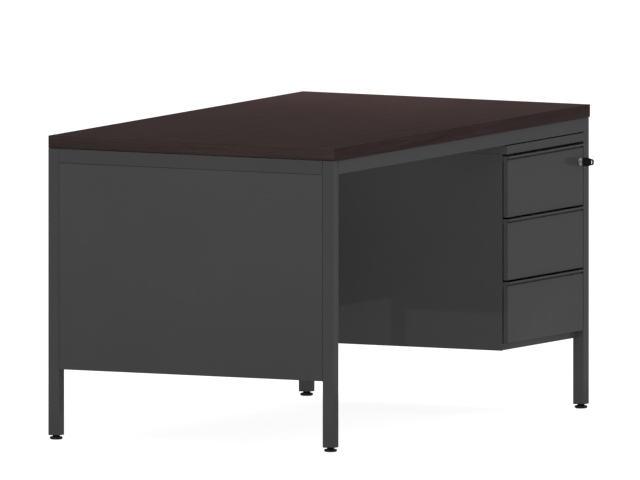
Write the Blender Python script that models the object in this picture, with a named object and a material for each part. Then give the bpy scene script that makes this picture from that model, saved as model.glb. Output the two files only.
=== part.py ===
"""Teacher desk with a steel tube frame, a laminate worktop and a three-drawer pedestal.

Sizes are in millimetres and are turned into metres as each mesh is made. In the desk's own
frame X runs along the worktop, the user sits on the -Y side, and the floor is at Z = 0.
"""
import math

import bmesh
import bpy
from mathutils import Vector

MM = 0.001
GAP = 0.3                    # clearance between pieces that touch

# Whole desk
WIDTH = 1400.0               # over the legs
DEPTH = 800.0                # over the legs
HEIGHT = 762.0
FRONT = -DEPTH / 2

# Worktop
TOP_THICKNESS = 31.6         # 30 mm board with 0.8 mm laminate on both faces
TOP_END_INSET = 4.0          # worktop ends inside the legs' outer faces
TOP_FRONT_OVERHANG = 5.0
TOP_BACK_OVERHANG = 1.5
EDGE_BAND = 2.0
EDGE_BAND_ROUND = 0.9
TOP_BOTTOM = HEIGHT - TOP_THICKNESS

# Tube frame
TUBE = 30.0
TUBE_WALL = 1.5
TUBE_ROUND = 1.2
TUBE_ROUND_INSIDE = 0.5
INSERT_ROUND = 1.0
FRAME_TOP = TOP_BOTTOM - GAP
RAIL_BOTTOM = 695.0
INSERT_BOTTOM = 11.0
INSERT_FLANGE = 1.2
INSERT_DEPTH = 18.0
LEG_BOTTOM = INSERT_BOTTOM + INSERT_FLANGE + GAP
CORNERS = {
    "front_left": (-1, -1),
    "front_right": (1, -1),
    "back_left": (-1, 1),
    "back_right": (1, 1),
}

# Levelling feet
STUD_RADIUS = 4.0
STUD_TOP = 45.0
FOOT_OUTLINE = (             # radius and height, from the floor up
    (12.5, 0.0),
    (15.6, 1.6),
    (16.5, 3.4),
    (16.2, 5.6),
    (14.2, 7.2),
    (9.4, 8.0),
    (8.4, 10.7),
    (STUD_RADIUS, 10.7),
    (STUD_RADIUS, STUD_TOP),
)

# Sheet-metal panels
SHEET = 1.2
FOLD_ROUND = 1.0
PANEL_RETURN = 15.0
PANEL_GAP = 0.4              # to the legs and rails, with whose outer faces it is flush
PANEL_TOP = RAIL_BOTTOM - PANEL_GAP
END_PANEL_BOTTOM = 177.0
MODESTY_PANEL_BOTTOM = 210.0

# Pedestal case
CASE_LEFT = 252.3
CASE_RIGHT = WIDTH / 2 - TUBE - GAP
CASE_CENTRE = (CASE_LEFT + CASE_RIGHT) / 2
CASE_HALF = (CASE_RIGHT - CASE_LEFT) / 2
CASE_FRONT = FRONT + 20.0    # front flanges of the bottom and the top
CASE_SIDE_FRONT = FRONT + 13.8
CASE_BACK = FRONT + 600.0
CASE_BOTTOM = 178.0
CASE_TOP = 671.0
HANGER_TOP = RAIL_BOTTOM - 2.4
CASE_SILL = 17.0             # front flange of the bottom
CASE_KEEPER = 22.0           # front flange of the top, which the lock's cam catches
HEM_THICKNESS = 2.4
HEM_DEPTH = 12.0

# Drawers, each measured back from its front face and down from its top edge
DRAWERS = 3
FRONT_TOP = 666.0
FRONT_PITCH = 157.6
FRONT_HEIGHT = 153.6
FRONT_HALF = 206.0
FRONT_RETURN = 12.0
SEAM_START = 2.1             # between the front sheet and the pan behind it
SEAM_WIDTH = 0.9
SEAM_DEPTH = 0.8
LIP_HEIGHT = 5.0
LIP_REACH = 5.5
GROOVE_HEIGHT = 4.4
GROOVE_DEPTH = 4.0
TOP_FLANGE = 19.4
TOP_FLANGE_DROP = 14.0
PLATE_Y = FRONT_RETURN + GAP
PLATE_INSET = 1.5            # inside the front's outline
RUNNER_SPACE = 13.2          # between the case side and the drawer box
BOX_HALF = CASE_HALF - SHEET - RUNNER_SPACE
BOX_Y = PLATE_Y + SHEET / 2
BOX_LENGTH = 520.0
BOX_TOP = -26.0
BOX_BOTTOM = -144.0

# Three-member runners, measured in from the case side
RUNNER_Y = 34.0
RUNNER_LENGTH = 498.0
RUNNER_Z = -84.0
CASE_MEMBER = (GAP, 9.8, 22.5)          # web, flange tips, half height
MIDDLE_MEMBER = (3.9, 11.7, 19.0)
DRAWER_MEMBER = (RUNNER_SPACE - GAP, 6.5, 15.5)

# Lock, measured along its axis from the drawer's front face
LOCK_X = 645.5 - CASE_CENTRE
LOCK_Z = 622.0 - FRONT_TOP
BEZEL_RADIUS = 10.0
BEZEL_REACH = 5.0
BARREL_RADIUS = 7.5
BARREL_END = 27.0
PLUG_RADIUS = 5.0
PLUG_END = 28.5
TAIL_HALF = 2.5
TAIL_END = 33.0
CAM_Y = 29.0
CAM_THICKNESS = 2.0
CAM_RADIUS = 6.5
CAM_LENGTH = 38.0
CAM_TIP_HALF = 4.5
CLIP_THICKNESS = 1.2
BLADE_HALF_WIDTH = 1.0
BLADE_HALF_HEIGHT = 4.0
BLADE_END = 18.0
SLOT_END = 20.0
KEY_START = -9.5
KEY_TIP = -41.0
KEY_HALF_THICKNESS = 2.0

# The origin is under the middle of the desk with its key in.
ORIGIN_SHIFT = -(FRONT + KEY_TIP + DEPTH / 2 + TOP_BACK_OVERHANG) / 2

# Colour, roughness and metallic value of each finish
PAINT = ("charcoal_paint", (0.060, 0.060, 0.062), 0.45, 0.0)
WOOD = ("walnut_laminate", (0.046, 0.030, 0.029), 0.45, 0.0)
EDGE = ("walnut_edge_band", (0.036, 0.024, 0.022), 0.5, 0.0)
ZINC = ("zinc_plated_steel", (0.55, 0.56, 0.57), 0.35, 1.0)
CHROME = ("polished_nickel", (0.75, 0.75, 0.76), 0.15, 1.0)
PLASTIC = ("black_plastic", (0.012, 0.012, 0.013), 0.5, 0.0)


def finish(spec):
    """Return the material of one finish, made the first time it is asked for."""
    name, colour, roughness, metallic = spec
    found = bpy.data.materials.get(name)
    if found:
        return found
    made = bpy.data.materials.new(name)
    made.use_nodes = True
    shader = made.node_tree.nodes["Principled BSDF"]
    shader.inputs["Base Color"].default_value = (*colour, 1.0)
    shader.inputs["Roughness"].default_value = roughness
    shader.inputs["Metallic"].default_value = metallic
    return made


def pivot(name, at, parent=None):
    """An empty that pieces hang on, at a place in its parent's frame."""
    empty = bpy.data.objects.new(name, None)
    empty.empty_display_size = 0.05
    empty.location = Vector(at) * MM
    empty.parent = parent
    bpy.context.collection.objects.link(empty)
    return empty


def place(name, mesh, parent, at=(0, 0, 0), turn=(0, 0, 0), look=None):
    """Put a mesh in the scene as one piece, turned by degrees about X, Y and Z."""
    piece = bpy.data.objects.new(name, mesh)
    piece.location = Vector(at) * MM
    piece.rotation_euler = [math.radians(angle) for angle in turn]
    piece.parent = parent
    if look:
        mesh.materials.clear()
        mesh.materials.append(finish(look))
    bpy.context.collection.objects.link(piece)
    return piece


def loft(name, loops, ring=False, smooth=False):
    """Skin a row of loops. A ring joins the last loop to the first; otherwise both ends are capped."""
    shape = bmesh.new()
    rows = [[shape.verts.new(Vector(point) * MM) for point in loop] for loop in loops]
    pairs = list(zip(rows, rows[1:]))
    if ring:
        pairs.append((rows[-1], rows[0]))
    else:
        shape.faces.new(rows[0])
        shape.faces.new(rows[-1])
    for near, far in pairs:
        for index in range(len(near)):
            after = (index + 1) % len(near)
            shape.faces.new((near[index], near[after], far[after], far[index]))
    bmesh.ops.recalc_face_normals(shape, faces=shape.faces)
    mesh = bpy.data.meshes.new(name)
    shape.to_mesh(mesh)
    shape.free()
    if smooth:
        mesh.shade_smooth()
        mesh.set_sharp_from_angle(angle=math.radians(35))
    return mesh


def prism(name, outline, start, end, axis):
    """Extrude a flat outline along one axis. The outline's two numbers are the other axes in order."""
    order = {
        "x": lambda a, b, along: (along, a, b),
        "y": lambda a, b, along: (a, along, b),
        "z": lambda a, b, along: (a, b, along),
    }[axis]
    return loft(name, [[order(a, b, along) for a, b in outline] for along in (start, end)])


def rectangle(half_a, low_b, high_b):
    """Corners of a rectangle that is centred on its first axis."""
    return [(-half_a, low_b), (half_a, low_b), (half_a, high_b), (-half_a, high_b)]


def rounded(size_a, size_b, radius, steps=3):
    """Outline of a centred rectangle with round corners."""
    points = []
    for corner, (side_a, side_b) in enumerate(((1, 1), (-1, 1), (-1, -1), (1, -1))):
        centre_a = side_a * (size_a / 2 - radius)
        centre_b = side_b * (size_b / 2 - radius)
        for step in range(steps + 1):
            angle = math.radians(90 * (corner + step / steps))
            points.append((centre_a + radius * math.cos(angle), centre_b + radius * math.sin(angle)))
    return points


def circle(radius, count, start=0.0):
    """Points of a circle, with the first at the start angle in degrees."""
    angles = [math.radians(start + 360 * index / count) for index in range(count)]
    return [(radius * math.cos(angle), radius * math.sin(angle)) for angle in angles]


def turned_along_y(name, outline, count, ring=False):
    """Turn an outline of (radius, y) pairs about the Y axis."""
    loops = [[(a, along, b) for a, b in circle(radius, count)] for radius, along in outline]
    return loft(name, loops, ring=ring, smooth=True)


def soften(piece, width, segments=2):
    """Round the sharp edges of a piece."""
    bevel = piece.modifiers.new("edge_round", "BEVEL")
    bevel.width = width * MM
    bevel.segments = segments
    bevel.limit_method = "ANGLE"
    bevel.angle_limit = math.radians(40)


def combine(piece, tool, operation):
    """Cut a tool out of a piece, or join it on, and keep the tool as a wire guide."""
    tool.display_type = "WIRE"
    tool.hide_render = True
    boolean = piece.modifiers.new(operation.lower(), "BOOLEAN")
    boolean.operation = operation
    boolean.object = tool


def hollow_tube(name, size_a, size_b, length):
    """Square tube along its own Z axis, open at both ends."""
    outer = rounded(size_a, size_b, TUBE_ROUND)
    inner = rounded(size_a - 2 * TUBE_WALL, size_b - 2 * TUBE_WALL, TUBE_ROUND_INSIDE)
    walls = ((outer, 0), (outer, length), (inner, length), (inner, 0))
    loops = [[(a, b, height) for a, b in outline] for outline, height in walls]
    return loft(name, loops, ring=True, smooth=True)


def folded_pan(name, width, height, depth):
    """Flat face towards -Y with four edges folded back by the depth, centred on X, standing on Z = 0."""
    steps = 3
    rows = []
    for step in range(steps + 1):
        angle = math.radians(90 * step / steps)
        rows.append((FOLD_ROUND * (1 - math.sin(angle)), FOLD_ROUND * (1 - math.cos(angle))))
    rows += [(0, depth), (SHEET, depth), (SHEET, SHEET)]
    loops = []
    for inset, along in rows:
        corners = rectangle(width / 2 - inset, inset, height - inset)
        loops.append([(a, along, b) for a, b in corners])
    return loft(name, loops)


def worktop(desk):
    """Board with a band along each edge; the front and back bands cover the ends of the others."""
    half_length = WIDTH / 2 - TOP_END_INSET
    front = FRONT - TOP_FRONT_OVERHANG
    back = DEPTH / 2 + TOP_BACK_OVERHANG
    board_half = half_length - EDGE_BAND - GAP
    board_front = front + EDGE_BAND + GAP
    board_back = back - EDGE_BAND - GAP
    board = prism("worktop_board", rectangle(board_half, board_front, board_back), TOP_BOTTOM, HEIGHT, "z")
    place("worktop_board", board, desk, look=WOOD)
    middle = (TOP_BOTTOM + HEIGHT) / 2
    side_length = board_back - board_front
    bands = {
        "front": (2 * half_length, (0, front, middle), 0),
        "back": (2 * half_length, (0, back, middle), 180),
        "left": (side_length, (-half_length, (board_front + board_back) / 2, middle), -90),
        "right": (side_length, (half_length, (board_front + board_back) / 2, middle), 90),
    }
    for side, (length, at, turn) in bands.items():
        place(f"worktop_edge_{side}", edge_band(length), desk, at, (0, 0, turn), EDGE)


def edge_band(length):
    """Strip along X with its face towards -Y at Y = 0 and both long edges of that face rounded."""
    half = TOP_THICKNESS / 2
    steps = 3
    outline = [(EDGE_BAND, half), (EDGE_BAND, -half)]
    for sign in (-1, 1):
        for step in range(steps + 1):
            turn = step if sign < 0 else steps - step
            angle = math.radians(90 * turn / steps)
            inward = EDGE_BAND_ROUND * (1 - math.sin(angle))
            drop = half - EDGE_BAND_ROUND * (1 - math.cos(angle))
            outline.append((inward, sign * drop))
    return prism("worktop_edge", outline, -length / 2, length / 2, "x")


def frame(desk):
    """Four legs, and four rails that run between them flush with their outer faces."""
    rail_height = FRAME_TOP - RAIL_BOTTOM
    rail_middle = (FRAME_TOP + RAIL_BOTTOM) / 2
    long_rail = WIDTH - 2 * TUBE - 2 * GAP
    short_rail = DEPTH - 2 * TUBE - 2 * GAP
    leg = hollow_tube("leg", TUBE, TUBE, FRAME_TOP - LEG_BOTTOM)
    for corner, (side, end) in CORNERS.items():
        place(f"leg_{corner}", leg, desk, (*leg_centre(side, end), LEG_BOTTOM), look=PAINT)
    along_x = hollow_tube("long_rail", rail_height, TUBE, long_rail)
    along_y = hollow_tube("short_rail", TUBE, rail_height, short_rail)
    for end, word in ((-1, "front"), (1, "back")):
        at = (-long_rail / 2, end * (DEPTH - TUBE) / 2, rail_middle)
        place(f"rail_{word}", along_x, desk, at, (0, 90, 0), PAINT)
    for side, word in ((-1, "left"), (1, "right")):
        at = (side * (WIDTH - TUBE) / 2, -short_rail / 2, rail_middle)
        place(f"rail_{word}", along_y, desk, at, (-90, 0, 0), PAINT)


def leg_centre(side, end):
    """X and Y of a leg's centre line."""
    return side * (WIDTH - TUBE) / 2, end * (DEPTH - TUBE) / 2


def inserts_and_feet(desk):
    """A plastic insert in each leg's end, and a levelling foot screwed up into it."""
    bore = [(a, b) for a, b in circle(STUD_RADIUS + GAP, 16, start=11.25)]
    plug_size = TUBE - 2 * TUBE_WALL - 2 * GAP
    flange = rounded(TUBE - GAP, TUBE - GAP, TUBE_ROUND)
    plug = rounded(plug_size, plug_size, INSERT_ROUND)
    top = INSERT_FLANGE + INSERT_DEPTH
    rows = ((flange, 0), (flange, INSERT_FLANGE), (plug, INSERT_FLANGE), (plug, top), (bore, top), (bore, 0))
    loops = [[(a, b, height) for a, b in outline] for outline, height in rows]
    insert = loft("leg_insert", loops, ring=True, smooth=True)
    loops = [[(a, b, height) for a, b in circle(radius, 20)] for radius, height in FOOT_OUTLINE]
    foot = loft("foot", loops, smooth=True)
    for corner, (side, end) in CORNERS.items():
        x, y = leg_centre(side, end)
        place(f"leg_insert_{corner}", insert, desk, (x, y, INSERT_BOTTOM), look=PLASTIC)
        screw = pivot(f"foot_axis_{corner}", (x, y, 0), desk)
        place(f"foot_{corner}", foot, screw, look=PLASTIC)


def panels(desk):
    """A folded panel at each end and one across the back, between the legs."""
    end_width = DEPTH - 2 * TUBE - 2 * PANEL_GAP
    end_panel = folded_pan("end_panel", end_width, PANEL_TOP - END_PANEL_BOTTOM, PANEL_RETURN)
    for side, word in ((-1, "left"), (1, "right")):
        at = (side * WIDTH / 2, 0, END_PANEL_BOTTOM)
        place(f"end_panel_{word}", end_panel, desk, at, (0, 0, 90 * side), PAINT)
    back_width = WIDTH - 2 * TUBE - 2 * PANEL_GAP
    back = folded_pan("modesty_panel", back_width, PANEL_TOP - MODESTY_PANEL_BOTTOM, PANEL_RETURN)
    at = (0, DEPTH / 2, MODESTY_PANEL_BOTTOM)
    place("modesty_panel", back, desk, at, (0, 0, 180), PAINT)


def case(desk):
    """Pedestal case: two hemmed sides with the bottom, top and back between them, under a hanger."""
    middle = pivot("pedestal_centre", (CASE_CENTRE, 0, 0), desk)
    for side, word in ((-1, "left"), (1, "right")):
        outer = side * CASE_HALF
        skin = side * (CASE_HALF - SHEET)
        hem = side * (CASE_HALF - HEM_THICKNESS)
        outline = [
            (outer, CASE_SIDE_FRONT),
            (hem, CASE_SIDE_FRONT),
            (hem, CASE_SIDE_FRONT + HEM_DEPTH),
            (skin, CASE_SIDE_FRONT + HEM_DEPTH),
            (skin, CASE_BACK),
            (outer, CASE_BACK),
        ]
        mesh = prism(f"case_side_{word}", outline, CASE_BOTTOM, CASE_TOP, "z")
        panel = place(f"case_side_{word}", mesh, middle, look=PAINT)
        soften(panel, 0.5)
    inside = CASE_HALF - HEM_THICKNESS - GAP
    tray_back = CASE_BACK - SHEET - GAP
    bottom = flanged_sheet("case_bottom", inside, tray_back, CASE_BOTTOM, SHEET, CASE_SILL)
    top = flanged_sheet("case_top", inside, tray_back, CASE_TOP - GAP, -SHEET, -CASE_KEEPER)
    back_outline = rectangle(inside, CASE_BACK - SHEET, CASE_BACK)
    back = prism("case_back", back_outline, CASE_BOTTOM, CASE_TOP - GAP, "z")
    place("case_bottom", bottom, middle, look=PAINT)
    place("case_top", top, middle, look=PAINT)
    place("case_back", back, middle, look=PAINT)
    hanger = folded_pan("pedestal_hanger", 2 * CASE_HALF, CASE_BACK - FRONT, HANGER_TOP - CASE_TOP - GAP)
    place("pedestal_hanger", hanger, middle, (0, FRONT, HANGER_TOP), (-90, 0, 0), PAINT)
    return middle


def flanged_sheet(name, half_width, back, level, thickness, flange):
    """Level sheet whose front edge is folded up, or down where the thickness and flange are negative."""
    outline = [
        (CASE_FRONT, level),
        (back, level),
        (back, level + thickness),
        (CASE_FRONT + SHEET, level + thickness),
        (CASE_FRONT + SHEET, level + flange),
        (CASE_FRONT, level + flange),
    ]
    return prism(name, outline, -half_width, half_width, "x")


def drawer_front(name, drawer):
    """Folded front: a full-width lip on top, a finger groove under it and a seam down each end."""
    low = -FRONT_HEIGHT
    ledge = -LIP_HEIGHT - GROOVE_HEIGHT
    outside = [
        (0, low),
        (0, ledge),
        (GROOVE_DEPTH, ledge),
        (GROOVE_DEPTH, -LIP_HEIGHT),
        (-LIP_REACH, -LIP_HEIGHT),
        (-LIP_REACH, 0),
        (TOP_FLANGE, 0),
        (TOP_FLANGE, -TOP_FLANGE_DROP),
        (FRONT_RETURN, -TOP_FLANGE_DROP),
        (FRONT_RETURN, low),
    ]
    behind = TOP_FLANGE + 20
    hollow = [
        (SHEET, low + SHEET),
        (SHEET, ledge - SHEET),
        (GROOVE_DEPTH + SHEET, ledge - SHEET),
        (GROOVE_DEPTH + SHEET, -SHEET),
        (TOP_FLANGE - SHEET, -SHEET),
        (TOP_FLANGE - SHEET, -2 * TOP_FLANGE_DROP),
        (behind, -2 * TOP_FLANGE_DROP),
        (behind, low + SHEET),
    ]
    shell = place(name, prism(name, outside, -FRONT_HALF, FRONT_HALF, "x"), drawer, look=PAINT)
    soften(shell, 0.8)
    inner_half = FRONT_HALF - SHEET
    inner = prism(f"{name}_hollow", hollow, -inner_half, inner_half, "x")
    combine(shell, place(f"{name}_hollow", inner, drawer), "DIFFERENCE")
    seam_end = SEAM_START + SEAM_WIDTH
    for side in (-1, 1):
        floor, past = side * (FRONT_HALF - SEAM_DEPTH), side * (FRONT_HALF + 1)
        seam_outline = [(floor, SEAM_START), (past, SEAM_START), (past, seam_end), (floor, seam_end)]
        seam = prism(f"{name}_seam", seam_outline, low - 1, -LIP_HEIGHT - 1, "z")
        combine(shell, place(f"{name}_seam", seam, drawer), "DIFFERENCE")
    return shell


def drawer_box(name, drawer):
    """Open tray with a wider plate across its front that closes the back of the drawer front."""
    plate_bottom = -FRONT_HEIGHT + PLATE_INSET
    plate_outline = rectangle(FRONT_HALF - PLATE_INSET, plate_bottom, -TOP_FLANGE_DROP - GAP)
    box = place(name, prism(name, plate_outline, PLATE_Y, PLATE_Y + SHEET, "y"), drawer, look=PAINT)
    loops = []
    for inset, height in ((0, BOX_BOTTOM), (0, BOX_TOP), (SHEET, BOX_TOP), (SHEET, BOX_BOTTOM + SHEET)):
        corners = rectangle(BOX_HALF - inset, BOX_Y + inset, BOX_Y + BOX_LENGTH - inset)
        loops.append([(a, b, height) for a, b in corners])
    tray = place(f"{name}_tray", loft(f"{name}_tray", loops), drawer)
    combine(box, tray, "UNION")
    return box


def channel(name, side, member):
    """One runner member: a C section whose web and flange tips are measured in from the case side."""
    web, tip, half = member
    step = SHEET if tip > web else -SHEET
    across = [side * (CASE_HALF - SHEET - value) for value in (web, web + step, tip)]
    outer, inner, ends = across
    outline = [
        (outer, -half),
        (ends, -half),
        (ends, SHEET - half),
        (inner, SHEET - half),
        (inner, half - SHEET),
        (ends, half - SHEET),
        (ends, half),
        (outer, half),
    ]
    outline = [(a, b + RUNNER_Z) for a, b in outline]
    return prism(name, outline, RUNNER_Y, RUNNER_Y + RUNNER_LENGTH, "y")


def runners(number, drawer, middle, case_side):
    """Both runners of one drawer. Each has a case member, a middle member and a drawer member."""
    for side, word in ((-1, "left"), (1, "right")):
        members = (
            (f"case_runner_{number}_{word}", CASE_MEMBER, case_side),
            (f"middle_runner_{number}_{word}", MIDDLE_MEMBER, middle),
            (f"drawer_runner_{number}_{word}", DRAWER_MEMBER, drawer),
        )
        for name, member, parent in members:
            place(name, channel(name, side, member), parent, look=ZINC)


def lock_hole(name, piece, lock):
    """Hole for the lock's barrel through a drawer front or its box."""
    outline = ((BARREL_RADIUS + GAP, -BEZEL_REACH), (BARREL_RADIUS + GAP, BARREL_END))
    combine(piece, place(name, turned_along_y(name, outline, 24), lock), "DIFFERENCE")


def lock_barrel(lock):
    """Fixed part of the lock: a bezel on the drawer front and a barrel behind it."""
    outline = (
        (BEZEL_RADIUS - 1.6, -BEZEL_REACH),
        (BEZEL_RADIUS - 0.5, -BEZEL_REACH + 0.5),
        (BEZEL_RADIUS, -BEZEL_REACH + 1.6),
        (BEZEL_RADIUS, -GAP),
        (BARREL_RADIUS, -GAP),
        (BARREL_RADIUS, BARREL_END),
        (PLUG_RADIUS + GAP, BARREL_END),
        (PLUG_RADIUS + GAP, -BEZEL_REACH),
    )
    place("lock_cylinder", turned_along_y("lock_cylinder", outline, 24, ring=True), lock, look=CHROME)
    start = BOX_Y + SHEET + GAP
    near = BARREL_RADIUS + GAP
    far = near + 4
    outline = [(near / 2, near), (near / 2, far), (-far, far), (-far, -far), (near / 2, -far), (near / 2, -near)]
    outline += [(-near, -near), (-near, near)]
    clip = prism("lock_clip", outline, start, start + CLIP_THICKNESS, "y")
    place("lock_clip", clip, lock, look=ZINC)


def lock_plug(plug_axis):
    """Turning part of the lock: a slotted plug with a square tail, and the cam on the tail."""
    outline = (
        (PLUG_RADIUS - 0.6, -BEZEL_REACH - GAP),
        (PLUG_RADIUS, -BEZEL_REACH + 0.3),
        (PLUG_RADIUS, PLUG_END),
        (TAIL_HALF, PLUG_END),
        (TAIL_HALF, TAIL_END),
    )
    plug = place("lock_plug", turned_along_y("lock_plug", outline, 20), plug_axis, look=CHROME)
    slot_half = BLADE_HALF_WIDTH + GAP
    slot_height = BLADE_HALF_HEIGHT + GAP
    slot = prism("key_slot", rectangle(slot_half, -slot_height, slot_height), -BEZEL_REACH - 5, SLOT_END, "y")
    combine(plug, place("key_slot", slot, plug_axis), "DIFFERENCE")
    hub = circle(CAM_RADIUS, 16)
    tip = circle(CAM_TIP_HALF, 16)
    reach = CAM_LENGTH - CAM_TIP_HALF
    outline = [point for point in hub if point[0] > -CAM_RADIUS / 2]
    outline = sorted(outline, key=lambda point: math.atan2(point[1], point[0]))
    ends = [(a - reach, b) for a, b in tip if a < CAM_TIP_HALF / 2]
    ends = sorted(ends, key=lambda point: math.atan2(point[1], -(point[0] + reach)), reverse=True)
    arm = prism("lock_cam", outline + ends, CAM_Y, CAM_Y + CAM_THICKNESS, "y")
    cam = place("lock_cam", arm, plug_axis, look=ZINC)
    bore = turned_along_y("cam_bore", ((TAIL_HALF + GAP, CAM_Y - 2), (TAIL_HALF + GAP, CAM_Y + 4)), 16)
    combine(cam, place("cam_bore", bore, plug_axis), "DIFFERENCE")


def key(key_axis):
    """Key with a steel blade and a plastic head that narrows to a slotted end."""
    blade_outline = rectangle(BLADE_HALF_WIDTH, -BLADE_HALF_HEIGHT, BLADE_HALF_HEIGHT)
    blade = prism("key_blade", blade_outline, KEY_START + GAP, BLADE_END, "y")
    place("key_blade", blade, key_axis, look=CHROME)
    half = [
        (KEY_START, 8.2),
        (KEY_START - 2.4, 10.8),
        (KEY_START - 17.0, 10.8),
        (KEY_START - 21.5, 8.6),
        (KEY_TIP + 2.8, 7.2),
        (KEY_TIP, 4.8),
    ]
    outline = half + [(along, -height) for along, height in reversed(half)]
    thick = KEY_HALF_THICKNESS
    head = place("key_head", prism("key_head", outline, -thick, thick, "x"), key_axis, look=PLASTIC)
    soften(head, 0.6)
    boss_loops = []
    for along in (-thick - 0.8, thick + 0.8):
        boss_loops.append([(along, a + KEY_START - 8.5, b) for a, b in circle(6.0, 20)])
    combine(head, place("key_boss", loft("key_boss", boss_loops), key_axis), "UNION")
    slot_centre = KEY_TIP + 5.5
    slot_outline = [(a + slot_centre, b) for a, b in rounded(3.6, 9.4, 1.7)]
    slot = prism("key_ring_slot", slot_outline, -thick - 3, thick + 3, "x")
    combine(head, place("key_ring_slot", slot, key_axis), "DIFFERENCE")


def drawers(desk, case_middle):
    """Three alike drawers, each on its own pair of runners; the first one carries the lock."""
    for number in range(1, DRAWERS + 1):
        top = FRONT_TOP - (number - 1) * FRONT_PITCH
        at = (CASE_CENTRE, FRONT, top)
        drawer = pivot(f"drawer_{number}_slide", at, desk)
        middle = pivot(f"middle_runner_{number}_slide", at, desk)
        fixed = pivot(f"case_runner_{number}_place", (0, FRONT, top), case_middle)
        front = drawer_front(f"drawer_{number}_front", drawer)
        box = drawer_box(f"drawer_{number}_box", drawer)
        runners(number, drawer, middle, fixed)
        if number == 1:
            lock = pivot("lock_axis", (LOCK_X, 0, LOCK_Z), drawer)
            lock_hole("lock_hole_front", front, lock)
            lock_hole("lock_hole_box", box, lock)
            lock_barrel(lock)
            lock_plug(lock)
            key(lock)


def main():
    """Clear the scene and build the desk."""
    for old in list(bpy.data.objects):
        bpy.data.objects.remove(old, do_unlink=True)
    desk = pivot("desk_origin", (0, ORIGIN_SHIFT, 0))
    worktop(desk)
    frame(desk)
    inserts_and_feet(desk)
    panels(desk)
    drawers(desk, case(desk))


main()
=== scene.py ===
"""Looks of the teacher desk: finishes, small fixings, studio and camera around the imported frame."""
import math

import bmesh
import bpy
from mathutils import Matrix, Vector


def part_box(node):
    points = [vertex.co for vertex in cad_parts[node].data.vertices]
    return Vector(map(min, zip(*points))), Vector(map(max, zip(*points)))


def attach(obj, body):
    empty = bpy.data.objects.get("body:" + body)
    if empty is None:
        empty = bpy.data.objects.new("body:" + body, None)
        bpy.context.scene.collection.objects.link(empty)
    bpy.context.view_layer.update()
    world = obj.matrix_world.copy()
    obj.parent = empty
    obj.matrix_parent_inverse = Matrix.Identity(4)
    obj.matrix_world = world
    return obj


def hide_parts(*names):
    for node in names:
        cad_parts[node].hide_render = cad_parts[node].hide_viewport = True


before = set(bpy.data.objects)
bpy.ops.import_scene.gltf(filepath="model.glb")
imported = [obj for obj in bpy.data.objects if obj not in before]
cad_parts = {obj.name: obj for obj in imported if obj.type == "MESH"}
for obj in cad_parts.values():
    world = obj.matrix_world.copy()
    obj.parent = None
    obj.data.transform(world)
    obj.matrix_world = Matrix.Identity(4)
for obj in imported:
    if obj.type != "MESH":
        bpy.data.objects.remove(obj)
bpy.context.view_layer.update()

MM = 0.001
SIDES = ("left", "right")
DRAWERS = (1, 2, 3)
CORNERS = ("front_left", "front_right", "back_left", "back_right")
SHEET = 1.2 * MM                     # thickness of the panels' sheet and of the runners' steel


# ---------------------------------------------------------------- finishes

MIX_COLOURS_IN = (0, 6, 7)           # a Mix node's share and two colours, which only their numbers tell apart
MIX_COLOURS_OUT = 2
EDGE_SEEN = (0.995, 0.86)            # how alike a rounded and a flat normal are, off an edge and on it


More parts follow.
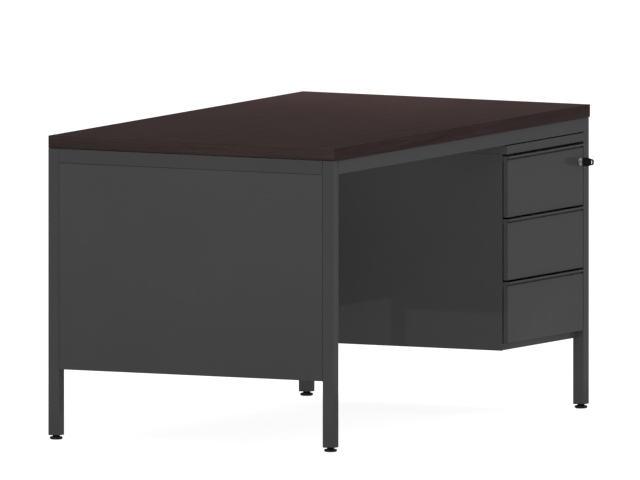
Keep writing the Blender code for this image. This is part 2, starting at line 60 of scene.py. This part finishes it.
class Finish:
    """A material in the making: a Principled shader and helpers for the nodes that feed it.

    Patterns are laid out in metres in the object's own space, so they move with their piece.
    """

    def __init__(self, name, metallic=0.0, roughness=0.5, specular=0.5):
        self.material = bpy.data.materials.new(name)
        self.material.use_nodes = True
        self.tree = self.material.node_tree
        self.shader = self.tree.nodes["Principled BSDF"]
        self.place = self.node("ShaderNodeTexCoord").outputs["Object"]
        self.feed(self.shader, "Metallic", metallic)
        self.feed(self.shader, "Roughness", roughness)
        self.feed(self.shader, "Specular IOR Level", specular)

    def node(self, kind, **settings):
        """A new node with its plain properties set."""
        made = self.tree.nodes.new(kind)
        for name, value in settings.items():
            setattr(made, name, value)
        return made

    def feed(self, node, name, value):
        """Give a node's input, found by name or number, a number, a colour or another node's output."""
        socket = node.inputs[name]
        if isinstance(value, bpy.types.NodeSocket):
            self.tree.links.new(value, socket)
        elif isinstance(value, (tuple, list)) and len(value) == 3 and socket.type == "RGBA":
            socket.default_value = (*value, 1.0)
        else:
            socket.default_value = value

    def stretched(self, stretch, turn=(0, 0, 0)):
        """The object's own space, with patterns drawn out by these factors along X, Y and Z."""
        mapping = self.node("ShaderNodeMapping")
        self.feed(mapping, "Vector", self.place)
        mapping.inputs["Rotation"].default_value = [math.radians(angle) for angle in turn]
        mapping.inputs["Scale"].default_value = [1 / factor for factor in stretch]
        return mapping.outputs["Vector"]

    def noise(self, size, detail=2.0, rough=0.5, where=None, bend=0.0, seed=0.0):
        """Soft cloud pattern from 0 to 1 whose blobs are about this size in metres."""
        made = self.node("ShaderNodeTexNoise", noise_dimensions="4D")
        self.feed(made, "Vector", where or self.place)
        self.feed(made, "W", seed)
        self.feed(made, "Scale", 1 / size)
        self.feed(made, "Detail", detail)
        self.feed(made, "Roughness", rough)
        self.feed(made, "Distortion", bend)
        return made.outputs["Fac"]

    def cells(self, size):
        """Distance to the middle of the nearest of many cells, each about this size in metres."""
        made = self.node("ShaderNodeTexVoronoi", feature="F1")
        self.feed(made, "Vector", self.place)
        self.feed(made, "Scale", 1 / size)
        return made.outputs["Distance"]

    def span(self, value, low, high, start=0.0, end=1.0, smooth=False):
        """Spread the part of a value between low and high over start to end."""
        made = self.node("ShaderNodeMapRange", interpolation_type="SMOOTHSTEP" if smooth else "LINEAR")
        self.feed(made, "Value", value)
        self.feed(made, "From Min", low)
        self.feed(made, "From Max", high)
        self.feed(made, "To Min", start)
        self.feed(made, "To Max", end)
        return made.outputs["Result"]

    def maths(self, operation, first, second):
        """One arithmetic step."""
        made = self.node("ShaderNodeMath", operation=operation)
        self.feed(made, 0, first)
        self.feed(made, 1, second)
        return made.outputs["Value"]

    def blend(self, share, first, second):
        """Mix two colours: all of the first at share 0, and all of the second at share 1."""
        made = self.node("ShaderNodeMix", data_type="RGBA")
        for socket, value in zip(MIX_COLOURS_IN, (share, first, second)):
            self.feed(made, socket, value)
        return made.outputs[MIX_COLOURS_OUT]

    def edges(self, radius):
        """1 on the piece's edges and 0 on its flats, and the normal of edges rounded to the radius."""
        rounded = self.node("ShaderNodeBevel", samples=4)
        self.feed(rounded, "Radius", radius)
        flat = self.node("ShaderNodeNewGeometry").outputs["Normal"]
        dot = self.node("ShaderNodeVectorMath", operation="DOT_PRODUCT")
        self.tree.links.new(rounded.outputs["Normal"], dot.inputs[0])
        self.tree.links.new(flat, dot.inputs[1])
        mask = self.span(dot.outputs["Value"], *EDGE_SEEN, smooth=True)
        return mask, rounded.outputs["Normal"]

    def bump(self, height, depth, under=None):
        """Normal of a surface raised by depth metres where the height is 1."""
        made = self.node("ShaderNodeBump")
        self.feed(made, "Strength", 1.0)
        self.feed(made, "Distance", depth)
        self.feed(made, "Height", height)
        if under is not None:
            self.feed(made, "Normal", under)
        return made.outputs["Normal"]

    def done(self, colour, roughness=None, normal=None):
        """Connect the finished colour, roughness and normal."""
        self.feed(self.shader, "Base Color", colour)
        if roughness is not None:
            self.feed(self.shader, "Roughness", roughness)
        if normal is not None:
            self.feed(self.shader, "Normal", normal)
        return self.material


def toned(colour, tone):
    """A colour scaled by one number, or by one each for its red, green and blue."""
    tones = tone if isinstance(tone, tuple) else (tone,) * len(colour)
    return tuple(share * value for share, value in zip(tones, colour))


PAINTED_LIGHT_HEIGHTS = (0.18, 0.69)         # between these heights the coat passes from its low tone to its high one: painted light and shade
PAINT_DARK = (0.0472, 0.0472, 0.0479)
PAINT_PALE = (0.0504, 0.0502, 0.0506)
PAINT_FLECK = (0.0565, 0.0565, 0.0575)
PAINT_RUBBED = (0.078, 0.078, 0.080)
PANEL_PAINTED_LIGHT_TONES = (0.97, 1.12)           # painted light: the end panels' coat is painted darker near the floor and lighter near the worktop


def charcoal_paint(name="charcoal_powder_coat", low=1.0, high=1.0):
    """Glossy charcoal powder coat: faint orange peel, mottling and rubbed edges.

    Low and high scale the coat near the floor and near the worktop: painted light and shade that makes it
    lighter or darker towards the top.
    """
    finish = Finish(name, specular=0.10)
    edge, rounded = finish.edges(0.0008)
    cloud = finish.noise(0.19, detail=3)
    fleck = finish.noise(0.0016, detail=1, seed=3)
    patch = finish.noise(0.035, detail=4, rough=0.6, seed=7)
    parts = finish.node("ShaderNodeSeparateXYZ")
    finish.feed(parts, "Vector", finish.place)
    # painted light and shade: the coat runs from its low tone near the floor to its high tone near the
    # worktop
    height = finish.span(parts.outputs["Z"], *PAINTED_LIGHT_HEIGHTS)
    dark = finish.blend(height, toned(PAINT_DARK, low), toned(PAINT_DARK, high))
    pale = finish.blend(height, toned(PAINT_PALE, low), toned(PAINT_PALE, high))
    base = finish.blend(finish.span(cloud, 0.3, 0.7), dark, pale)
    base = finish.blend(finish.span(fleck, 0.56, 0.74, 0.0, 0.35), base, PAINT_FLECK)
    rubbed = finish.maths("MULTIPLY", edge, finish.span(patch, 0.42, 0.62, 0.15, 0.8))
    colour = finish.blend(rubbed, base, PAINT_RUBBED)
    roughness = finish.span(patch, 0.25, 0.75, 0.035, 0.06)
    peel = finish.noise(0.0022, detail=1.5, rough=0.4, seed=11)
    waves = finish.noise(0.009, detail=1, seed=13)
    normal = finish.bump(waves, 0.000004, rounded)
    normal = finish.bump(peel, 0.000002, normal)
    return finish.done(colour, roughness, normal)


WALNUT_DARK = (0.0255, 0.0136, 0.0130)
WALNUT_LIGHT = (0.0470, 0.0274, 0.0262)
WALNUT_WARM = (0.0510, 0.0274, 0.0246)
TOP_TONE = (0.96, 0.95, 0.93)
# painted light and shade: the front and back edge bands are painted darker and the end bands lighter than the
# same laminate
LONG_BAND_PAINTED_SHADE_TONE = (0.80, 0.85, 0.85)
SIDE_BAND_PAINTED_LIGHT_TONE = (1.01, 1.27, 1.26)


def walnut_laminate(name, along, tone):
    """Dark walnut laminate whose printed grain runs along one axis, with matching pressed pores.

    Tone scales the red, green and blue of its colours; for the edge bands it paints light and shade into
    them.
    """
    finish = Finish(name, specular=0.03)
    edge, rounded = finish.edges(0.0006)

    def drawn(length):
        """Stretch the pattern by this factor along the grain."""
        return finish.stretched([length if axis == along else 1.0 for axis in "xyz"])

    figure = finish.noise(0.055, detail=3, rough=0.55, where=drawn(16), bend=1.4, seed=1)
    bands = finish.node("ShaderNodeMath", operation="PINGPONG")
    finish.feed(bands, 0, finish.maths("MULTIPLY", figure, 9.0))
    bands.inputs[1].default_value = 0.5
    rings = finish.span(bands.outputs["Value"], 0.0, 0.5, 0.0, 1.0, smooth=True)
    streaks = finish.noise(0.0035, detail=4, rough=0.65, where=drawn(60), seed=5)
    pores = finish.noise(0.0011, detail=2, rough=0.5, where=drawn(28), seed=9)
    pore = finish.span(pores, 0.60, 0.70, 0.0, 1.0)
    tint = finish.noise(0.25, detail=2, where=drawn(3), seed=15)
    dark, light, warm = (toned(colour, tone) for colour in (WALNUT_DARK, WALNUT_LIGHT, WALNUT_WARM))
    colour = finish.blend(finish.span(streaks, 0.28, 0.72), dark, light)
    colour = finish.blend(finish.maths("MULTIPLY", rings, 0.38), colour, dark)
    colour = finish.blend(finish.span(tint, 0.35, 0.7, 0.0, 0.35), colour, warm)
    colour = finish.blend(finish.maths("MULTIPLY", pore, 0.6), colour, toned(dark, 0.4))
    colour = finish.blend(finish.maths("MULTIPLY", edge, 0.25), colour, light)
    roughness = finish.span(streaks, 0.3, 0.7, 0.36, 0.28)
    normal = finish.bump(finish.maths("SUBTRACT", 1.0, pore), 0.00006, rounded)
    normal = finish.bump(streaks, 0.00003, normal)
    return finish.done(colour, roughness, normal)


def zinc_plated_steel():
    """Rolled steel with a bright zinc coat: long roll marks, cloudy passivation and dulled patches."""
    finish = Finish("zinc_plate", metallic=1.0)
    edge, rounded = finish.edges(0.0004)
    rolled = finish.noise(0.0006, detail=3, rough=0.6, where=finish.stretched((1, 70, 1)), seed=2)
    cloud = finish.noise(0.028, detail=4, rough=0.6, seed=4)
    grease = finish.noise(0.05, detail=2, where=finish.stretched((1, 3, 1)), seed=6)
    cool, pale, straw = (0.50, 0.52, 0.54), (0.66, 0.67, 0.66), (0.60, 0.57, 0.48)
    colour = finish.blend(finish.span(cloud, 0.3, 0.7), cool, pale)
    colour = finish.blend(finish.span(grease, 0.5, 0.75, 0.0, 0.35), colour, straw)
    colour = finish.blend(finish.maths("MULTIPLY", edge, 0.4), colour, (0.8, 0.8, 0.8))
    roughness = finish.span(cloud, 0.3, 0.7, 0.28, 0.46)
    normal = finish.bump(rolled, 0.000012, rounded)
    return finish.done(colour, roughness, normal)


def polished_nickel():
    """Polished nickel plate with turning marks and fine scratches."""
    finish = Finish("nickel_plate", metallic=1.0)
    edge, rounded = finish.edges(0.0003)
    scratch = finish.noise(0.0004, detail=2, where=finish.stretched((40, 1, 1), (0, 35, 0)), seed=3)
    haze = finish.noise(0.004, detail=3, seed=8)
    colour = finish.blend(finish.span(haze, 0.3, 0.7), (0.66, 0.65, 0.62), (0.78, 0.77, 0.74))
    colour = finish.blend(finish.maths("MULTIPLY", edge, 0.3), colour, (0.9, 0.9, 0.88))
    roughness = finish.maths("ADD", finish.span(haze, 0.3, 0.7, 0.10, 0.22),
                             finish.span(scratch, 0.62, 0.75, 0.0, 0.15))
    normal = finish.bump(scratch, 0.000006, rounded)
    return finish.done(colour, roughness, normal)


def black_plastic():
    """Injection-moulded black plastic with a fine spark-eroded grain and rubbed edges."""
    finish = Finish("moulded_black_plastic", specular=0.4)
    edge, rounded = finish.edges(0.0005)
    grain = finish.cells(0.00045)
    scuff = finish.noise(0.006, detail=4, rough=0.7, seed=6)
    black, dulled = (0.0090, 0.0090, 0.0095), (0.019, 0.019, 0.019)
    colour = finish.blend(finish.span(scuff, 0.45, 0.75, 0.0, 0.5), black, dulled)
    colour = finish.blend(finish.maths("MULTIPLY", edge, 0.45), colour, (0.034, 0.034, 0.035))
    roughness = finish.span(scuff, 0.3, 0.7, 0.38, 0.56)
    normal = finish.bump(grain, 0.00003, rounded)
    return finish.done(colour, roughness, normal)


def dress_cad_nodes():
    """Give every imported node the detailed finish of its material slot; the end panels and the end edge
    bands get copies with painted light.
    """
    finishes = {
        "charcoal_paint": charcoal_paint(),
        "walnut_laminate": walnut_laminate("walnut_top", "x", TOP_TONE),
        # the front and back edge bands get a darker copy of the laminate: painted shade
        "walnut_edge_band": walnut_laminate("walnut_band_long_painted_shade", "x", LONG_BAND_PAINTED_SHADE_TONE),
        "zinc_plated_steel": zinc_plated_steel(),
        "polished_nickel": polished_nickel(),
        "black_plastic": black_plastic(),
    }
    # the end edge bands get a lighter copy of the laminate: painted light
    side_band_painted_light = walnut_laminate("walnut_band_side_painted_light", "y", SIDE_BAND_PAINTED_LIGHT_TONE)
    # painted light: the end panels get a coat painted lighter towards the top
    painted_light_coat = charcoal_paint("charcoal_panel_coat_painted_light", *PANEL_PAINTED_LIGHT_TONES)
    for name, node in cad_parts.items():
        for slot in node.material_slots:
            slot.material = finishes[slot.material.name.split(".")[0]]
    for side in SIDES:
        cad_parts[f"worktop_edge_{side}"].material_slots[0].material = side_band_painted_light
        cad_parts[f"end_panel_{side}"].material_slots[0].material = painted_light_coat
    return finishes


# ---------------------------------------------------------------- mesh helpers

def skin(loops):
    """Closed bmesh skinned over a row of loops with the same number of points, capped at both ends."""
    shape = bmesh.new()
    rows = [[shape.verts.new(Vector(point)) for point in loop] for loop in loops]
    shape.faces.new(rows[0])
    shape.faces.new(rows[-1])
    for near, far in zip(rows, rows[1:]):
        for index in range(len(near)):
            after = (index + 1) % len(near)
            shape.faces.new((near[index], near[after], far[after], far[index]))
    bmesh.ops.recalc_face_normals(shape, faces=shape.faces)
    return shape


def ring(radius, height, count, shape=None):
    """Loop of points round Z at a height, in millimetres; shape scales the radius by angle."""
    points = []
    for index in range(count):
        angle = 2 * math.pi * index / count
        reach = radius * (shape(angle) if shape else 1.0)
        points.append((reach * math.cos(angle) * MM, reach * math.sin(angle) * MM, height * MM))
    return points


def piece(name, shapes, body, finish, sharp=35):
    """Join placed shapes, given as (bmesh, matrix) pairs, into one piece that rides on a body."""
    mesh = bpy.data.meshes.new(name)
    whole = bmesh.new()
    for shape, matrix in shapes:
        part = bpy.data.meshes.new("part")
        shape.to_mesh(part)
        part.transform(matrix)
        whole.from_mesh(part)
        bpy.data.meshes.remove(part)
    whole.to_mesh(mesh)
    whole.free()
    mesh.shade_smooth()
    mesh.set_sharp_from_angle(angle=math.radians(sharp))
    mesh.materials.append(finish)
    made = bpy.data.objects.new(name, mesh)
    bpy.context.scene.collection.objects.link(made)
    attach(made, body)
    return made


def facing(at, direction, spin=0.0):
    """Matrix that puts a shape at a point with its Z axis along a direction, spun by degrees about it."""
    turn = Vector(direction).to_track_quat("Z", "Y").to_matrix().to_4x4()
    return Matrix.Translation(at) @ turn @ Matrix.Rotation(math.radians(spin), 4, "Z")


# ---------------------------------------------------------------- fixings

SPIN_STEP = 47.0             # each screw of a row stands turned by this much more than the last


def cross_recess(angle):
    """Radius of a cross-shaped driver recess, as a share of its arms' length."""
    off_arm = abs((angle + math.pi / 4) % (math.pi / 2) - math.pi / 4)
    return min(1.0 / math.cos(off_arm), 0.19 / max(math.sin(off_arm), 1e-6))


def hexagon(angle):
    """Radius of a hexagon, as a share of its corners' radius."""
    return math.cos(math.pi / 6) / math.cos(angle % (math.pi / 3) - math.pi / 6)


def screw_head(radius, height, recess, recess_radius, washer=0.0):
    """Pan head with a driver recess, standing on Z = 0, on a washer where one is asked for."""
    count = 36
    base = 1.0 if washer else 0.0
    loops = []
    if washer:
        loops += [ring(washer, 0, count), ring(washer, base * 0.8, count), ring(washer - 0.3, base, count)]
    profile = ((1.0, 0.0), (1.0, 0.30), (0.96, 0.55), (0.86, 0.80), (0.70, 0.95), (0.60, 1.0))
    loops += [ring(radius * share, base + height * up, count) for share, up in profile]
    loops.append(ring(recess_radius, base + height, count, recess))
    loops.append(ring(recess_radius * 0.8, base + height * 0.35, count, recess))
    return skin(loops)


def rivet_head(radius, height):
    """Domed rivet head with the small dimple that its mandrel leaves, standing on Z = 0."""
    count = 20
    profile = ((1.0, 0.0), (0.98, 0.25), (0.86, 0.62), (0.62, 0.90), (0.36, 1.0), (0.30, 0.80), (0.18, 0.72))
    return skin([ring(radius * share, height * up, count) for share, up in profile])


def row_of(shape, places, direction):
    """The same shape at several places, each turned a little further."""
    return [(shape, facing(at, direction, SPIN_STEP * index)) for index, at in enumerate(places)]


def worktop_screws(finish):
    """Pan-head screws up through the rails into the worktop, clear of the panels and the pedestal."""
    head = screw_head(4.6, 2.2, cross_recess, 2.6)
    placed = []
    clear = 5 * MM
    for word in ("front", "back"):
        low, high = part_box(f"rail_{word}")
        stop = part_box("pedestal_hanger")[0].x if word == "front" else high.x
        inner = (low.y + high.y) / 2 if word == "front" else low.y + clear + MM
        count = 3 if word == "front" else 4
        first, last = low.x + 80 * MM, stop - 80 * MM
        xs = [first + (last - first) * step / (count - 1) for step in range(count)]
        placed += row_of(head, [(x, inner, low.z) for x in xs], (0, 0, -1))
    for side in SIDES:
        low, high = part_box(f"rail_{side}")
        inner = high.x - clear - MM if side == "left" else low.x + clear + MM
        ys = [low.y + (high.y - low.y) * share for share in (0.12, 0.5, 0.88)]
        placed += row_of(head, [(inner, y, low.z) for y in ys], (0, 0, -1))
    piece("worktop_screws", placed, "root", finish)


def panel_screws(finish):
    """Socket button-head screws that hold each folded panel's side returns to the legs."""
    head = screw_head(3.9, 2.3, hexagon, 1.9, washer=5.2)
    for name, across in (("end_panel_left", "y"), ("end_panel_right", "y"), ("modesty_panel", "x")):
        low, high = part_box(name)
        heights = [low.z + (high.z - low.z) * share for share in (0.1, 0.5, 0.9)]
        placed = []
        for sign in (-1, 1):
            if across == "y":
                edge = (low.y + SHEET) if sign < 0 else (high.y - SHEET)
                places = [((low.x + high.x) / 2, edge, z) for z in heights]
                direction = (0, -sign, 0)
            else:
                edge = (low.x + SHEET) if sign < 0 else (high.x - SHEET)
                places = [(edge, (low.y + high.y) / 2, z) for z in heights]
                direction = (-sign, 0, 0)
            placed += row_of(head, places, direction)
        piece(f"{name}_screws", placed, "root", finish)


def runner_fittings(steel, plastic):
    """Rivets that hold each drawer's runner members to its box, and the runners' black release levers."""
    rivet = rivet_head(3.2, 1.1)
    for number in DRAWERS:
        rivets, levers = [], []
        for side, sign in zip(SIDES, (-1, 1)):
            low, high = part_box(f"drawer_runner_{number}_{side}")
            web = high.x - SHEET if sign < 0 else low.x + SHEET
            middle = (low.z + high.z) / 2
            length = high.y - low.y
            places = [(web, low.y + length * share, middle) for share in (0.07, 0.36, 0.62, 0.93)]
            rivets += row_of(rivet, places, (sign, 0, 0))
            levers.append((release_lever(sign), Matrix.Translation((web, low.y + length * 0.48, middle))))
        piece(f"drawer_{number}_runner_rivets", rivets, f"drawer_{number}", steel)
        piece(f"drawer_{number}_release_levers", levers, f"drawer_{number}", plastic)


def release_lever(sign):
    """Curved plastic lever that lies on the drawer member's web, thick at its pivot and thin at its tip."""
    outline = ((0, -1.0), (0.75, -1.0), (1.0, -0.6), (1.0, 0.6), (0.75, 1.0), (0, 1.0))
    loops = []
    steps = 14
    for step in range(steps + 1):
        share = step / steps
        along = (-30 + 62 * share) * MM
        bend = 4.0 * math.sin(math.pi * share) ** 2 * MM
        half = (4.6 - 2.6 * share) * math.sqrt(max(1 - (2 * share - 1) ** 10, 0.04)) * MM
        thick = (2.6 - 1.0 * share) * MM * sign
        loops.append([(thick * out, along, bend + half * up) for out, up in outline])
    return skin(loops)


# ---------------------------------------------------------------- feet

THREAD_PITCH = 1.25          # millimetres, as are the two radii
THREAD_CREST = 4.24
THREAD_ROOT = 4.03
THREAD_MARGIN = 0.2          # what the thread keeps from the insert's lower end and adds beyond the stud


def thread_rod(length):
    """Threaded rod standing on Z = 0, one ridge climbing it by its pitch each turn."""
    count, steps_per_turn = 20, 5
    steps = int(length / MM / THREAD_PITCH * steps_per_turn)
    loops = []
    for step in range(steps + 1):
        height = step * THREAD_PITCH / steps_per_turn
        loop = []
        for index in range(count):
            turn = (height / THREAD_PITCH - index / count) % 1.0
            crest = 1 - abs(2 * turn - 1)
            radius = THREAD_ROOT + (THREAD_CREST - THREAD_ROOT) * min(1.0, 1.6 * crest)
            angle = 2 * math.pi * index / count
            loop.append((radius * math.cos(angle) * MM, radius * math.sin(angle) * MM, height * MM))
        loops.append(loop)
    return skin(loops)


def foot_studs(finish):
    """Thread of each levelling foot's zinc stud, which shows once the foot is screwed out."""
    for corner in CORNERS:
        low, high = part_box(f"foot_{corner}")
        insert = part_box(f"leg_insert_{corner}")[0].z
        middle = Vector(((low.x + high.x) / 2, (low.y + high.y) / 2, 0))
        start = insert + THREAD_MARGIN * MM
        rod = thread_rod(high.z - start + THREAD_MARGIN * MM)
        placed = [(rod, Matrix.Translation(middle + Vector((0, 0, start))))]
        piece(f"foot_{corner}_thread", placed, f"foot_{corner}", finish, sharp=25)


# ---------------------------------------------------------------- welds

BEAD_RADIUS = 1.7 * MM
BEAD_STEP = 0.45 * MM
RIPPLE_LENGTH = 2.2 * MM
WELD_INSET = 4 * MM                  # how far a bead stops short of an edge


def weld_bead(start, end):
    """Rippled bead of weld along a straight line, tapered at both ends."""
    start, end = Vector(start), Vector(end)
    run = end - start
    steps = max(8, int(run.length / BEAD_STEP))
    side = run.normalized().orthogonal().normalized()
    other = run.normalized().cross(side)
    loops = []
    for step in range(steps + 1):
        share = step / steps
        along = run.length * share
        ripple = 1 + 0.16 * math.cos(2 * math.pi * along / RIPPLE_LENGTH)
        taper = math.sqrt(max(1 - (2 * share - 1) ** 8, 0.02))
        reach = BEAD_RADIUS * ripple * taper
        centre = start + run * share
        loops.append([centre + (side * math.cos(angle) + other * math.sin(angle)) * reach
                      for angle in (2 * math.pi * index / 10 for index in range(10))])
    return skin(loops)


def frame_welds(finish):
    """Painted weld beads in the inner corners and under the ends of the rails."""
    beads = []
    for corner in CORNERS:
        end, side = corner.split("_")
        low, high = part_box(f"leg_{corner}")
        rail_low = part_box(f"rail_{end}")[0].z
        x = high.x if side == "left" else low.x
        y = high.y if end == "front" else low.y
        beads.append(weld_bead((x, y, rail_low + WELD_INSET), (x, y, high.z - WELD_INSET)))
        beads.append(weld_bead((x, low.y + WELD_INSET, rail_low), (x, high.y - WELD_INSET, rail_low)))
        beads.append(weld_bead((low.x + WELD_INSET, y, rail_low), (high.x - WELD_INSET, y, rail_low)))
    placed = [(bead, Matrix.Identity(4)) for bead in beads]
    piece("frame_welds", placed, "root", finish, sharp=60)


# ---------------------------------------------------------------- key

KEY_CUTS = (1.0, 2.1, 0.6, 1.7, 1.1)     # how many millimetres deep each notch goes, from the head to the tip
KEY_FIRST_CUT = 12.5 * MM                # from the blade's near end
KEY_CUT_PITCH = 2.7 * MM
KEY_MILLING = (4.4 * MM, 5.9 * MM)       # lower and upper edge of the groove in each side
KEY_POINT = 3 * MM                       # length of the tapered tip


def key_blade(finish):
    """Nickel key blade with a groove in each side and five notches, in place of the plain CAD blade."""
    low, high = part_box("key_blade")
    half = (high.x - low.x) / 2
    middle = (low.x + high.x) / 2
    first = low.y + KEY_FIRST_CUT
    groove_low, groove_high = (low.z + edge for edge in KEY_MILLING)
    steps = 110
    loops = []
    for step in range(steps + 1):
        y = low.y + (high.y - low.y) * step / steps
        cut = 0.0
        for index, depth in enumerate(KEY_CUTS):
            away = abs(y - (first + KEY_CUT_PITCH * index))
            cut = max(cut, min(depth * MM, depth * MM + 0.35 * MM - away))
        point = max(0.0, y - (high.y - KEY_POINT))
        bottom = low.z + max(cut, point * 0.95)
        top = high.z - point * 0.95
        mill = half * 0.58
        right = [(half, bottom), (half, groove_low), (mill, groove_low + 0.3 * MM),
                 (mill, groove_high - 0.3 * MM), (half, groove_high), (half, top)]
        left = [(-x, z) for x, z in reversed(right)]
        loops.append([(middle + x, y, z) for x, z in right + left])
    placed = [(skin(loops), Matrix.Identity(4))]
    made = piece("key_blade_cut", placed, "key", finish, sharp=20)
    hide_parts("key_blade")


def add_details(finishes):
    """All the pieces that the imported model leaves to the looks."""
    steel = finishes["zinc_plated_steel"]
    worktop_screws(steel)
    panel_screws(steel)
    runner_fittings(steel, finishes["black_plastic"])
    foot_studs(steel)
    frame_welds(finishes["charcoal_paint"])
    key_blade(finishes["polished_nickel"])


# ---------------------------------------------------------------- studio and camera

AZIMUTH = -62.84                     # degrees: the camera looks past the desk's left end towards its back
ELEVATION = 5.133                    # degrees
VIEW_WIDTH = 1.5984                  # metres across the picture
AIM_HEIGHT = 0.4606
AIM_RIGHT = 0.0035                   # how far the aim lies to the right of the desk's middle
CAMERA_DISTANCE = 6.0
HORIZON = 0.05                       # below this height the sky has its lowest brightness
SKY_LIGHT = (0.85, 0.95, 0.6)        # to plain light: at the horizon, high up, and how high that is
SKY_GLOSS = (0.015, 0.60, 0.75)      # to gloss: the same three
FLOOR_RADIUS = 30.0
FLOOR_SHADE = 0.3                    # how much of a shadow on the floor the camera sees
FLOOR_GLOW = (0.87, 1.0)             # to the camera and to light that isn't mirrored
FLOOR_GLOSS = (0.38, 0.85)           # to gloss, on the drawers' side of the desk and on the other side
FLOOR_SLANT = 0.5                    # how the line between the two runs: Y over X
FLOOR_TURN = (-0.15, 0.15)           # where the one passes into the other, from that line
FLOOR_NEAR = (1.1, 1.8, 0.3)         # within this reach gloss sees it darker, down to this share of its light


def make_camera():
    """Parallel projection from the front left, a little above the worktop's level."""
    azimuth, elevation = math.radians(AZIMUTH), math.radians(ELEVATION)
    back = Vector((math.sin(azimuth) * math.cos(elevation), -math.cos(azimuth) * math.cos(elevation),
                   math.sin(elevation)))
    right = Vector((math.cos(azimuth), math.sin(azimuth), 0))
    desk_middle = (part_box("leg_front_left")[0].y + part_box("leg_back_left")[1].y) / 2
    aim = Vector((0, desk_middle, AIM_HEIGHT)) + right * AIM_RIGHT
    camera = bpy.data.objects.new("camera", bpy.data.cameras.new("camera"))
    camera.data.type = "ORTHO"
    camera.data.ortho_scale = VIEW_WIDTH
    camera.data.clip_end = 100
    camera.location = aim + back * CAMERA_DISTANCE
    camera.rotation_euler = (-back).to_track_quat("-Z", "Y").to_euler()
    bpy.context.scene.collection.objects.link(camera)
    bpy.context.scene.camera = camera


def by_ray(tree, camera, glossy, other):
    """A number that differs for what the camera sees, for what gloss mirrors and for all other light."""
    path = tree.nodes.new("ShaderNodeLightPath")
    value = other
    for kind, own in (("Is Glossy Ray", glossy), ("Is Camera Ray", camera)):
        mix = tree.nodes.new("ShaderNodeMix")      # its inputs 0, 2 and 3 are the share and the two numbers
        tree.links.new(path.outputs[kind], mix.inputs[0])
        for socket, part in ((mix.inputs[2], value), (mix.inputs[3], own)):
            if isinstance(part, bpy.types.NodeSocket):
                tree.links.new(part, socket)
            else:
                socket.default_value = part
        value = mix.outputs[0]
    return value


def make_world():
    """White studio: an even dome that gloss mirrors dimly near the horizon. The camera sees plain white."""
    world = bpy.data.worlds.new("studio")
    world.use_nodes = True
    world.cycles.sampling_method = "NONE"
    tree = world.node_tree
    direction = tree.nodes.new("ShaderNodeTexCoord")
    parts = tree.nodes.new("ShaderNodeSeparateXYZ")
    tree.links.new(direction.outputs["Generated"], parts.inputs["Vector"])

    def rising(low, high, top):
        """Brightness that grows smoothly from the horizon up to this height of the sky."""
        made = tree.nodes.new("ShaderNodeMapRange")
        made.interpolation_type = "SMOOTHSTEP"
        tree.links.new(parts.outputs["Z"], made.inputs["Value"])
        for name, value in (("From Min", HORIZON), ("From Max", top), ("To Min", low), ("To Max", high)):
            made.inputs[name].default_value = value
        return made.outputs["Result"]

    strength = by_ray(tree, 1.0, rising(*SKY_GLOSS), rising(*SKY_LIGHT))
    tree.links.new(strength, tree.nodes["Background"].inputs["Strength"])
    tree.nodes["Background"].inputs["Color"].default_value = (1, 1, 1, 1)
    bpy.context.scene.world = world
    bpy.context.scene.view_settings.view_transform = "Standard"


LAMPS = (                            # name, place, what it faces, width, height and watts
    ("key_softbox", (-2.6, -1.9, 2.5), (0, 0, 0.5), 2.0, 2.0, 9),
    ("drawer_softbox", (0.9, -1.8, 0.3), (0.5, -0.4, 0.4), 0.8, 0.8, 1.7),
    ("worktop_softbox", (1.0, 0.35, 1.45), (0.75, 0.1, 0.75), 0.8, 0.8, 11),
    ("knee_fill", (-0.62, -0.02, 0.55), (0.25, -0.02, 0.40), 0.5, 0.3, 0.42),
    ("knee_top_fill", (-0.10, -0.05, 0.66), (0.25, -0.05, 0.66), 0.6, 0.04, 0.65),
    ("leg_fill", (0.30, -0.42, 0.06), (0.65, -0.38, 0.10), 0.3, 0.08, 0.25),
)


def area_light(name, at, towards, width, height, power):
    """Oblong softbox that neither the camera nor gloss sees."""
    light = bpy.data.lights.new(name, "AREA")
    light.shape = "RECTANGLE"
    light.size = width
    light.size_y = height
    light.energy = power
    lamp = bpy.data.objects.new(name, light)
    lamp.location = at
    lamp.visible_camera = False
    lamp.visible_glossy = False
    lamp.rotation_euler = (Vector(towards) - Vector(at)).to_track_quat("-Z", "Y").to_euler()
    bpy.context.scene.collection.objects.link(lamp)


def make_floor():
    """Wide pale floor that reads as white, with only a breath of shadow under the desk."""
    shape = bmesh.new()
    bmesh.ops.create_circle(shape, cap_ends=True, segments=64, radius=FLOOR_RADIUS)
    mesh = bpy.data.meshes.new("floor")
    shape.to_mesh(mesh)
    shape.free()
    floor = bpy.data.objects.new("floor", mesh)
    bpy.context.scene.collection.objects.link(floor)
    finish = Finish("pale_floor", roughness=1.0, specular=0.0)
    finish.feed(finish.shader, "Emission Color", (1.0, 1.0, 1.0))
    parts = finish.node("ShaderNodeSeparateXYZ")
    finish.feed(parts, "Vector", finish.place)
    slanted = finish.maths("MULTIPLY", parts.outputs["X"], FLOOR_SLANT)
    beyond = finish.maths("SUBTRACT", parts.outputs["Y"], slanted)
    reach = finish.node("ShaderNodeVectorMath", operation="LENGTH")
    finish.feed(reach, "Vector", finish.place)
    start, end, share = FLOOR_NEAR
    near = finish.span(reach.outputs["Value"], start, end, share, 1.0, smooth=True)
    gloss = finish.maths("MULTIPLY", finish.span(beyond, *FLOOR_TURN, *FLOOR_GLOSS), near)
    finish.feed(finish.shader, "Emission Strength", by_ray(finish.tree, FLOOR_GLOW[0], gloss, FLOOR_GLOW[1]))
    finish.feed(finish.shader, "Base Color", by_ray(finish.tree, FLOOR_SHADE, 0.0, 0.0))
    mesh.materials.append(finish.material)


make_camera()
make_world()
make_floor()
for lamp in LAMPS:
    area_light(*lamp)
add_details(dress_cad_nodes())
